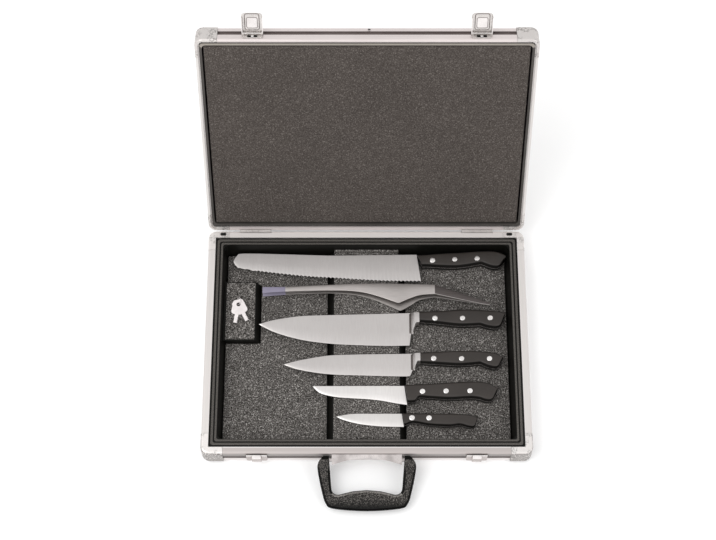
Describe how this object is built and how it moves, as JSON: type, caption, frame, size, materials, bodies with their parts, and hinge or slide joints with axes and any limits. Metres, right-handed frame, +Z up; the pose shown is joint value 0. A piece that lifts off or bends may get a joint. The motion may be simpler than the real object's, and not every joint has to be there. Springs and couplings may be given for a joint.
{
  "type": "hard chef knife case",
  "caption": "Slim aluminium-framed attache case for kitchen knives: hinged foam-lined lid, pan hasps, carrying handle and a black tray with padded floor, holding knives, tweezers and keys.",
  "frame": {"origin": "centre of the bottom panel's flat underside", "axes": "+X to the right along the case's length, +Y from the handle side to the hinge side, +Z up; the lid is open at rest"},
  "size_m": [0.4288, 0.5333, 0.3531],
  "materials": {
    "frame_aluminium": "satin anodised, fine lengthwise grain",
    "corner_metal": "mottled cast silver",
    "bumper_rubber": "matt black",
    "black_plastic": "vacuum formed, fine grain, slight sheen",
    "handle_black_plastic": "pebble grained",
    "lid_foam": "fine mottled dark foam",
    "speckled_pad": "grey foam sheet with light and dark specks",
    "knife_handle_plastic": "smooth black",
    "blade_steel": "fine ground satin",
    "key_steel": "plain stamped",
    "fitting_steel": "bright nickel plated sheet"
  },
  "bodies": {
    "base": {"base_rail_front": "frame_aluminium", "base_rail_right": "frame_aluminium", "base_rail_back": "frame_aluminium", "base_rail_left": "frame_aluminium", "base_corner_front_left": "corner_metal", "base_corner_front_right": "corner_metal", "base_corner_back_right": "corner_metal", "base_corner_back_left": "corner_metal", "bottom_panel": "frame_aluminium", "storage_tray": "black_plastic", "floor_pad_left": "speckled_pad", "floor_pad_right": "speckled_pad", "hump_pad": "speckled_pad", "key_pad": "speckled_pad", "bumper_left": "bumper_rubber", "bumper_right": "bumper_rubber", "catch_left": "fitting_steel", "catch_right": "fitting_steel", "handle_bracket": "fitting_steel", "hinge_base_leaf_left": "fitting_steel", "hinge_base_leaf_right": "fitting_steel", "hinge_pin_left": "fitting_steel", "hinge_pin_right": "fitting_steel"},
    "lid": {"lid_rail_front": "frame_aluminium", "lid_rail_right": "frame_aluminium", "lid_rail_back": "frame_aluminium", "lid_rail_left": "frame_aluminium", "lid_corner_front_left": "corner_metal", "lid_corner_front_right": "corner_metal", "lid_corner_back_right": "corner_metal", "lid_corner_back_left": "corner_metal", "lid_panel": "frame_aluminium", "lid_lining_frame": "black_plastic", "lid_foam": "lid_foam", "hinge_lid_leaf_left": "fitting_steel", "hinge_lid_leaf_right": "fitting_steel", "latch_mount_left": "fitting_steel", "latch_mount_right": "fitting_steel", "hasp_pin_left": "fitting_steel", "hasp_pin_right": "fitting_steel"},
    "hasp_left": {"hasp_left": "fitting_steel"},
    "lock_left": {"lock_cylinder_left": "fitting_steel"},
    "hasp_right": {"hasp_right": "fitting_steel"},
    "lock_right": {"lock_cylinder_right": "fitting_steel"},
    "handle": {"handle": "handle_black_plastic"},
    "bread_knife": {"bread_knife_blade": "blade_steel", "bread_knife_handle": "knife_handle_plastic"},
    "chef_knife": {"chef_knife_blade": "blade_steel", "chef_knife_handle": "knife_handle_plastic"},
    "carving_knife": {"carving_knife_blade": "blade_steel", "carving_knife_handle": "knife_handle_plastic"},
    "boning_knife": {"boning_knife_blade": "blade_steel", "boning_knife_handle": "knife_handle_plastic"},
    "paring_knife": {"paring_knife_blade": "blade_steel", "paring_knife_handle": "knife_handle_plastic"},
    "tweezers": {"tweezers_lower_arm": "blade_steel"},
    "tweezers_arm": {"tweezers_upper_arm": "blade_steel"},
    "keys": {"key_lower": "key_steel", "key_upper": "key_steel", "key_ring": "key_steel"}
  },
  "joints": [
    {"name": "lid_hinge", "type": "hinge", "parent": "base", "child": "lid", "pos_m": [0, 0.159, 0.0333], "axis": [-1, 0, 0], "range_deg": [-112, 0]},
    {"name": "hasp_left_hinge", "type": "hinge", "parent": "lid", "child": "hasp_left", "pos_m": [-0.142, 0.28795, 0.32763], "axis": [-1, 0, 0], "range_deg": [-90, 0]},
    {"name": "lock_left_turn", "type": "hinge", "parent": "hasp_left", "child": "lock_left", "pos_m": [-0.142, 0.29803, 0.34405], "axis": [0, 0.9272, -0.3746], "range_deg": [-90, 0]},
    {"name": "hasp_right_hinge", "type": "hinge", "parent": "lid", "child": "hasp_right", "pos_m": [0.142, 0.28795, 0.32763], "axis": [-1, 0, 0], "range_deg": [-90, 0]},
    {"name": "lock_right_turn", "type": "hinge", "parent": "hasp_right", "child": "lock_right", "pos_m": [0.142, 0.29803, 0.34405], "axis": [0, 0.9272, -0.3746], "range_deg": [-90, 0]},
    {"name": "handle_pivot", "type": "hinge", "parent": "base", "child": "handle", "pos_m": [0, -0.1652, 0.0265], "axis": [-1, 0, 0], "range_deg": [0, 55]},
    {"name": "lift_out_bread_knife", "type": "slide", "parent": "base", "child": "bread_knife", "axis": [0, 0, 1], "range_m": [0, 0.12]},
    {"name": "lift_out_chef_knife", "type": "slide", "parent": "base", "child": "chef_knife", "axis": [0, 0, 1], "range_m": [0, 0.12]},
    {"name": "lift_out_carving_knife", "type": "slide", "parent": "base", "child": "carving_knife", "axis": [0, 0, 1], "range_m": [0, 0.12]},
    {"name": "lift_out_boning_knife", "type": "slide", "parent": "base", "child": "boning_knife", "axis": [0, 0, 1], "range_m": [0, 0.12]},
    {"name": "lift_out_paring_knife", "type": "slide", "parent": "base", "child": "paring_knife", "axis": [0, 0, 1], "range_m": [0, 0.12]},
    {"name": "lift_out_tweezers", "type": "slide", "parent": "base", "child": "tweezers", "axis": [0, 0, 1], "range_m": [0, 0.12]},
    {"name": "tweezers_squeeze", "type": "hinge", "parent": "tweezers", "child": "tweezers_arm", "pos_m": [0.163, 0.056, 0.0176], "axis": [0, 1, 0], "range_deg": [-1.4, 0], "stiffness_Nm_per_rad": 18, "springref_deg": 1.15},
    {"name": "lift_out_keys", "type": "slide", "parent": "base", "child": "keys", "axis": [0, 0, 1], "range_m": [0, 0.12]}
  ]
}
